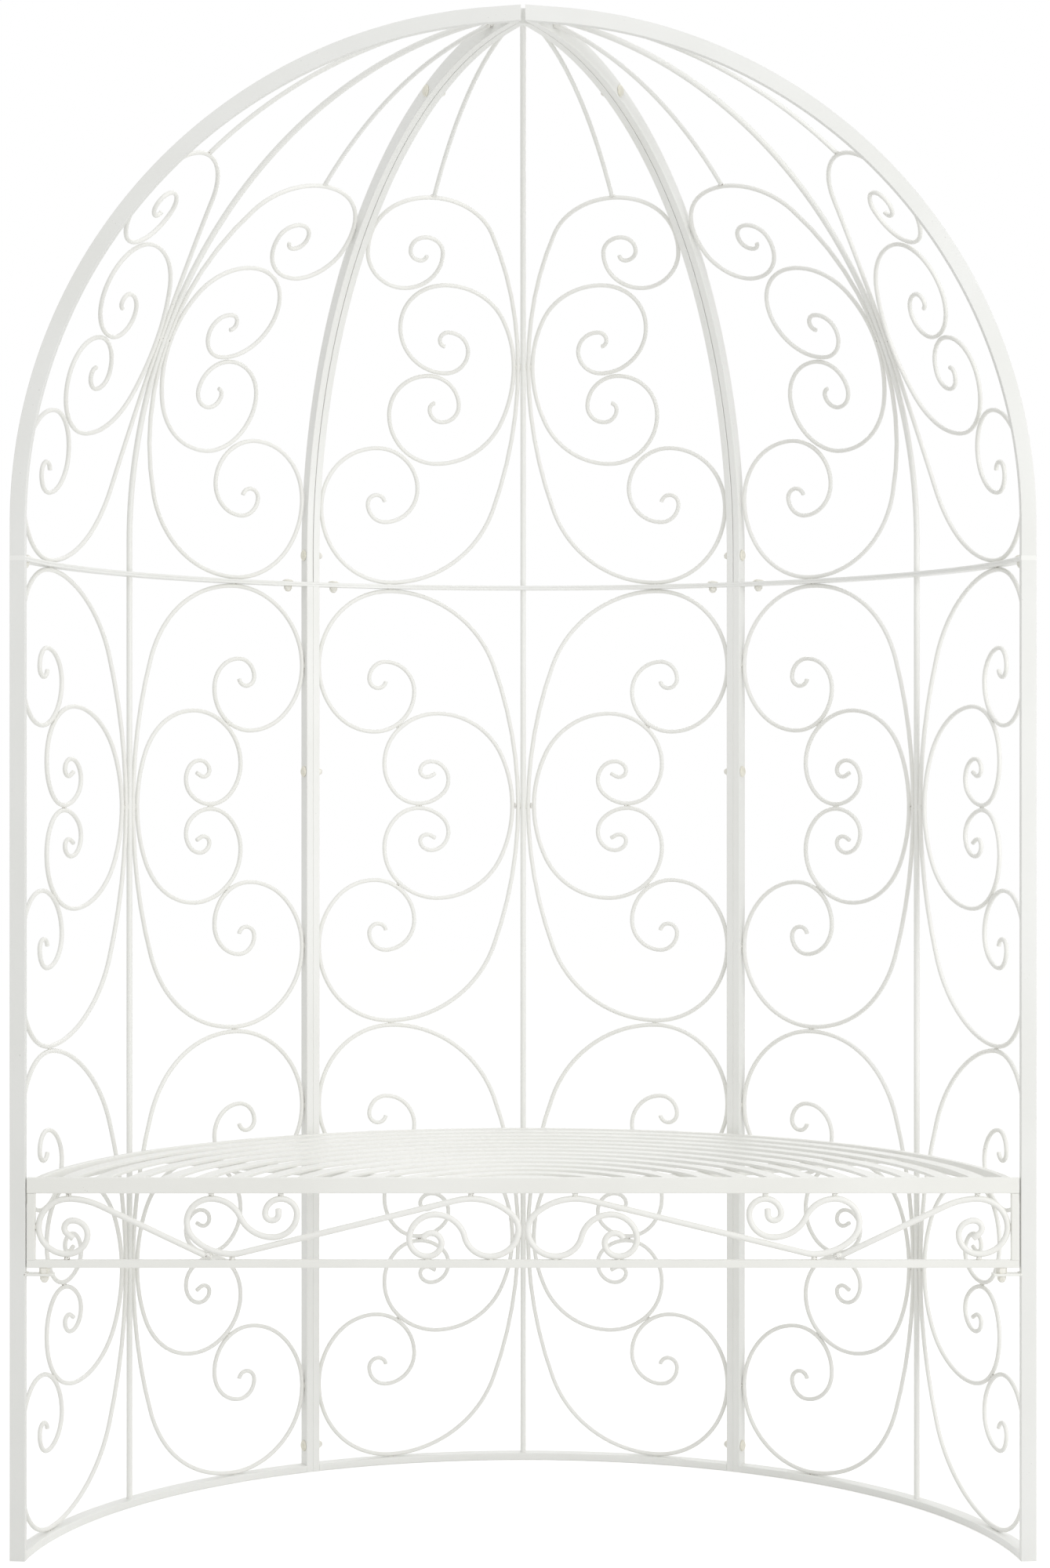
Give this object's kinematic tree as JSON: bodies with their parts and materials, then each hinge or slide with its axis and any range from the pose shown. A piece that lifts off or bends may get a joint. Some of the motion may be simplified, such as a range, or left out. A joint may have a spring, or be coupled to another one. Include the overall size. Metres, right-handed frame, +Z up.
{
  "type": "arbour seat",
  "caption": "Domed garden arbour seat of white painted steel: curved scrollwork panels, ribbed scrollwork dome, and a half-round slatted seat with a scrolled apron.",
  "frame": {"origin": "on the ground, under the middle of the whole width and depth; the upright axis that the curves of the panels, the dome and the seat share stands 0.32875 m in front of it", "axes": "+X to the right as seen from the front, +Y to the back, +Z up"},
  "size_m": [1.31, 0.6576, 1.9715],
  "materials": {
    "frame_paint": "satin white powder coat",
    "scroll_paint": "satin white powder coat",
    "rod_paint": "satin white powder coat",
    "seat_paint": "satin white powder coat",
    "zinc_fixings": "pale yellow zinc plate"
  },
  "bodies": {
    "root": {"apron_end_bars": "seat_paint", "apron_lower_rail": "seat_paint", "apron_scrolls": "scroll_paint", "back_gore_big_scrolls": "scroll_paint", "back_gore_bottom_flat": "frame_paint", "back_gore_centre_rod": "rod_paint", "back_gore_left_rib": "frame_paint", "back_gore_right_rib": "frame_paint", "back_gore_small_scrolls": "scroll_paint", "back_gore_struts": "rod_paint", "back_panel_big_scrolls": "scroll_paint", "back_panel_bottom_rail": "frame_paint", "back_panel_centre_rod": "rod_paint", "back_panel_left_stile": "frame_paint", "back_panel_right_stile": "frame_paint", "back_panel_small_scrolls": "scroll_paint", "back_panel_top_flat": "frame_paint", "left_gore_big_scrolls": "scroll_paint", "left_gore_bottom_flat": "frame_paint", "left_gore_centre_rod": "rod_paint", "left_gore_left_rib": "frame_paint", "left_gore_right_rib": "frame_paint", "left_gore_small_scrolls": "scroll_paint", "left_gore_struts": "rod_paint", "left_panel_big_scrolls": "scroll_paint", "left_panel_bottom_rail": "frame_paint", "left_panel_centre_rod": "rod_paint", "left_panel_left_stile": "frame_paint", "left_panel_right_stile": "frame_paint", "left_panel_small_scrolls": "scroll_paint", "left_panel_top_flat": "frame_paint", "right_gore_big_scrolls": "scroll_paint", "right_gore_bottom_flat": "frame_paint", "right_gore_centre_rod": "rod_paint", "right_gore_left_rib": "frame_paint", "right_gore_right_rib": "frame_paint", "right_gore_small_scrolls": "scroll_paint", "right_gore_struts": "rod_paint", "right_panel_big_scrolls": "scroll_paint", "right_panel_bottom_rail": "frame_paint", "right_panel_centre_rod": "rod_paint", "right_panel_left_stile": "frame_paint", "right_panel_right_stile": "frame_paint", "right_panel_small_scrolls": "scroll_paint", "right_panel_top_flat": "frame_paint", "ring_bolts": "zinc_fixings", "ring_nuts": "zinc_fixings", "seam_bolts": "zinc_fixings", "seam_nuts": "zinc_fixings", "seat_bearers": "seat_paint", "seat_curved_rail": "seat_paint", "seat_front_rail": "seat_paint", "seat_front_spacers": "zinc_fixings", "seat_nuts": "zinc_fixings", "seat_rear_bolts": "zinc_fixings", "seat_rear_spacers": "zinc_fixings", "seat_slats": "seat_paint", "seat_studs": "zinc_fixings", "seat_tabs": "seat_paint", "seat_washers": "zinc_fixings"}
  },
  "joints": []
}
